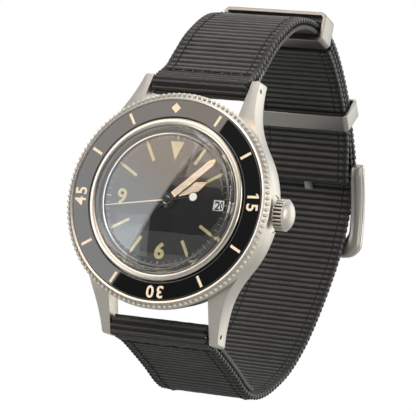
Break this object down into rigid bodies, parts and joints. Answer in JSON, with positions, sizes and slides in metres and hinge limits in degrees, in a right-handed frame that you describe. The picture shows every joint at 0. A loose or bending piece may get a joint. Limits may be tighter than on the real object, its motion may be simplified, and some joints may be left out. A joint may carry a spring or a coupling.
{
  "type": "dive watch",
  "caption": "Automatic dive watch with a turning bezel, screwed back, three hands, date, winding crown and two-piece ribbed webbing strap closed by a pin buckle.",
  "frame": {"origin": "centre of the case back's outer face", "axes": "+Z towards 12 o'clock, +X out through the crown at 3 o'clock, +Y out of the case back towards the wrist, so the dial looks along -Y"},
  "size_m": [0.0439, 0.0765, 0.0778],
  "materials": {
    "blasted_steel": "bead blasted, with fine polished edges",
    "nickel_plate": "nickel plated and grained",
    "brass": "gilt and grained",
    "tungsten": "grained tungsten alloy",
    "blued_spring": "blued",
    "rose_gold": "polished rose gold plate",
    "crystal_glass": "polished",
    "insert_black": "gloss black",
    "dial_black": "matt black paint",
    "satin_black": "satin black",
    "date_white": "off-white paint",
    "gasket_rubber": "moulded",
    "white_nylon": "moulded",
    "black_webbing": "ribbed woven webbing"
  },
  "bodies": {
    "case": {"case_body": "blasted_steel", "case_back": "blasted_steel", "back_gasket": "gasket_rubber", "bezel_snap_wire": "blasted_steel", "bezel_click_ring": "blasted_steel", "crystal": "crystal_glass", "crystal_gasket": "white_nylon", "rehaut_ring": "satin_black", "dial": "dial_black", "main_plate": "brass", "movement_holder": "white_nylon", "train_bridge": "nickel_plate", "barrel_bridge": "nickel_plate", "balance_cock": "nickel_plate", "rotor_bridge": "nickel_plate", "rotor_bridge_screw_left": "blasted_steel", "rotor_bridge_screw_right": "blasted_steel", "rotor_bearing": "blasted_steel", "hairspring": "blued_spring", "crown_tube": "blasted_steel", "spring_bar_upper": "blasted_steel", "spring_bar_lower": "blasted_steel", "strap_upper": "black_webbing", "strap_lower": "black_webbing", "buckle_bar": "blasted_steel"},
    "bezel": {"bezel_ring": "blasted_steel", "bezel_insert": "insert_black"},
    "winding": {"sliding_pinion": "blasted_steel", "winding_pinion": "blasted_steel"},
    "crown_stem": {"crown": "blasted_steel", "crown_gasket": "gasket_rubber", "winding_stem": "blasted_steel"},
    "ratchet": {"ratchet_wheel": "blasted_steel"},
    "minute": {"cannon_pinion": "blasted_steel", "minute_hand": "rose_gold"},
    "minute_wheel": {"minute_wheel": "brass"},
    "hour": {"hour_wheel": "brass", "hour_hand": "rose_gold"},
    "seconds": {"fourth_wheel": "brass", "seconds_hand": "satin_black"},
    "third": {"third_wheel": "brass"},
    "centre": {"centre_wheel": "brass"},
    "barrel": {"mainspring_barrel": "brass"},
    "escape": {"escape_wheel": "blasted_steel"},
    "pallet": {"pallet_fork": "blasted_steel"},
    "balance": {"balance_wheel": "brass"},
    "rotor": {"winding_rotor": "tungsten"},
    "date": {"date_ring": "date_white"},
    "buckle": {"buckle_frame": "blasted_steel"},
    "tongue": {"buckle_tongue": "blasted_steel"},
    "strap_keeper": {"fixed_keeper": "blasted_steel"},
    "free_keeper": {"loose_keeper": "blasted_steel"},
    "tip_upper_right": {"spring_bar_upper_tip_right": "blasted_steel"},
    "tip_upper_left": {"spring_bar_upper_tip_left": "blasted_steel"},
    "tip_lower_right": {"spring_bar_lower_tip_right": "blasted_steel"},
    "tip_lower_left": {"spring_bar_lower_tip_left": "blasted_steel"}
  },
  "joints": [
    {"name": "bezel_turn", "type": "hinge", "parent": "case", "child": "bezel", "pos_m": [0, 0, 0], "axis": [0, -1, 0], "continuous": true},
    {"name": "crown_turn", "type": "hinge", "parent": "case", "child": "winding", "pos_m": [0, -0.0061, 0], "axis": [1, 0, 0], "continuous": true},
    {"name": "crown_pull", "type": "slide", "parent": "winding", "child": "crown_stem", "axis": [1, 0, 0], "range_m": [0, 0.0014]},
    {"name": "ratchet_turn", "type": "hinge", "parent": "case", "child": "ratchet", "pos_m": [-0.00198, 0, 0.00545], "axis": [0, -1, 0], "continuous": true},
    {"name": "minute_turn", "type": "hinge", "parent": "case", "child": "minute", "pos_m": [0, 0, 0], "axis": [0, -1, 0], "continuous": true},
    {"name": "minute_wheel_turn", "type": "hinge", "parent": "case", "child": "minute_wheel", "pos_m": [0.0023, 0, -0.00193], "axis": [0, -1, 0], "continuous": true},
    {"name": "hour_turn", "type": "hinge", "parent": "case", "child": "hour", "pos_m": [0, 0, 0], "axis": [0, -1, 0], "continuous": true},
    {"name": "seconds_turn", "type": "hinge", "parent": "case", "child": "seconds", "pos_m": [0, 0, 0], "axis": [0, -1, 0], "continuous": true},
    {"name": "third_turn", "type": "hinge", "parent": "case", "child": "third", "pos_m": [0.0023, 0, -0.00398], "axis": [0, -1, 0], "continuous": true},
    {"name": "centre_turn", "type": "hinge", "parent": "case", "child": "centre", "pos_m": [0, 0, 0], "axis": [0, -1, 0], "continuous": true},
    {"name": "barrel_turn", "type": "hinge", "parent": "case", "child": "barrel", "pos_m": [-0.00198, 0, 0.00545], "axis": [0, -1, 0], "continuous": true},
    {"name": "escape_turn", "type": "hinge", "parent": "case", "child": "escape", "pos_m": [-0.00373, 0, -0.00261], "axis": [0, -1, 0], "continuous": true},
    {"name": "pallet_swing", "type": "hinge", "parent": "case", "child": "pallet", "pos_m": [-0.00441, -0.0055, -0.00449], "axis": [0, -1, 0], "range_deg": [-5, 5]},
    {"name": "balance_swing", "type": "hinge", "parent": "case", "child": "balance", "pos_m": [-0.00639, -0.0047, -0.00575], "axis": [0, -1, 0], "range_deg": [-135, 135], "stiffness_Nm_per_rad": 0.00000004},
    {"name": "rotor_turn", "type": "hinge", "parent": "case", "child": "rotor", "pos_m": [0, 0, 0], "axis": [0, -1, 0], "continuous": true},
    {"name": "date_turn", "type": "hinge", "parent": "case", "child": "date", "pos_m": [0, 0, 0], "axis": [0, -1, 0], "continuous": true},
    {"name": "buckle_swing", "type": "hinge", "parent": "case", "child": "buckle", "pos_m": [0, 0.0552, 0.0196], "axis": [1, 0, 0], "range_deg": [0, 5]},
    {"name": "tongue_swing", "type": "hinge", "parent": "buckle", "child": "tongue", "pos_m": [0, 0.0552, 0.0196], "axis": [1, 0, 0], "range_deg": [0, 8]},
    {"name": "keeper_slide", "type": "slide", "parent": "case", "child": "strap_keeper", "axis": [0, -0.7139, 0.7003], "range_m": [0, 0.001]},
    {"name": "loose_keeper_slide", "type": "slide", "parent": "case", "child": "free_keeper", "axis": [0, -0.9958, 0.0917], "range_m": [-0.0008, 0.0004]},
    {"name": "upper_right_tip", "type": "slide", "parent": "case", "child": "tip_upper_right", "axis": [-1, 0, 0], "range_m": [0, 0.0013], "stiffness_N_per_m": 150, "springref_m": -0.002},
    {"name": "upper_left_tip", "type": "slide", "parent": "case", "child": "tip_upper_left", "axis": [1, 0, 0], "range_m": [0, 0.0013], "stiffness_N_per_m": 150, "springref_m": -0.002},
    {"name": "lower_right_tip", "type": "slide", "parent": "case", "child": "tip_lower_right", "axis": [-1, 0, 0], "range_m": [0, 0.0013], "stiffness_N_per_m": 150, "springref_m": -0.002},
    {"name": "lower_left_tip", "type": "slide", "parent": "case", "child": "tip_lower_left", "axis": [1, 0, 0], "range_m": [0, 0.0013], "stiffness_N_per_m": 150, "springref_m": -0.002}
  ],
  "couplings": [
    {"joint": "ratchet_turn", "follows": "crown_turn", "ratio": 0.29167},
    {"joint": "minute_wheel_turn", "follows": "minute_turn", "ratio": -0.33333},
    {"joint": "hour_turn", "follows": "minute_turn", "ratio": 0.083333},
    {"joint": "third_turn", "follows": "seconds_turn", "ratio": -0.13333},
    {"joint": "centre_turn", "follows": "seconds_turn", "ratio": 0.016667},
    {"joint": "barrel_turn", "follows": "seconds_turn", "ratio": -0.0027778},
    {"joint": "escape_turn", "follows": "seconds_turn", "ratio": -10}
  ]
}
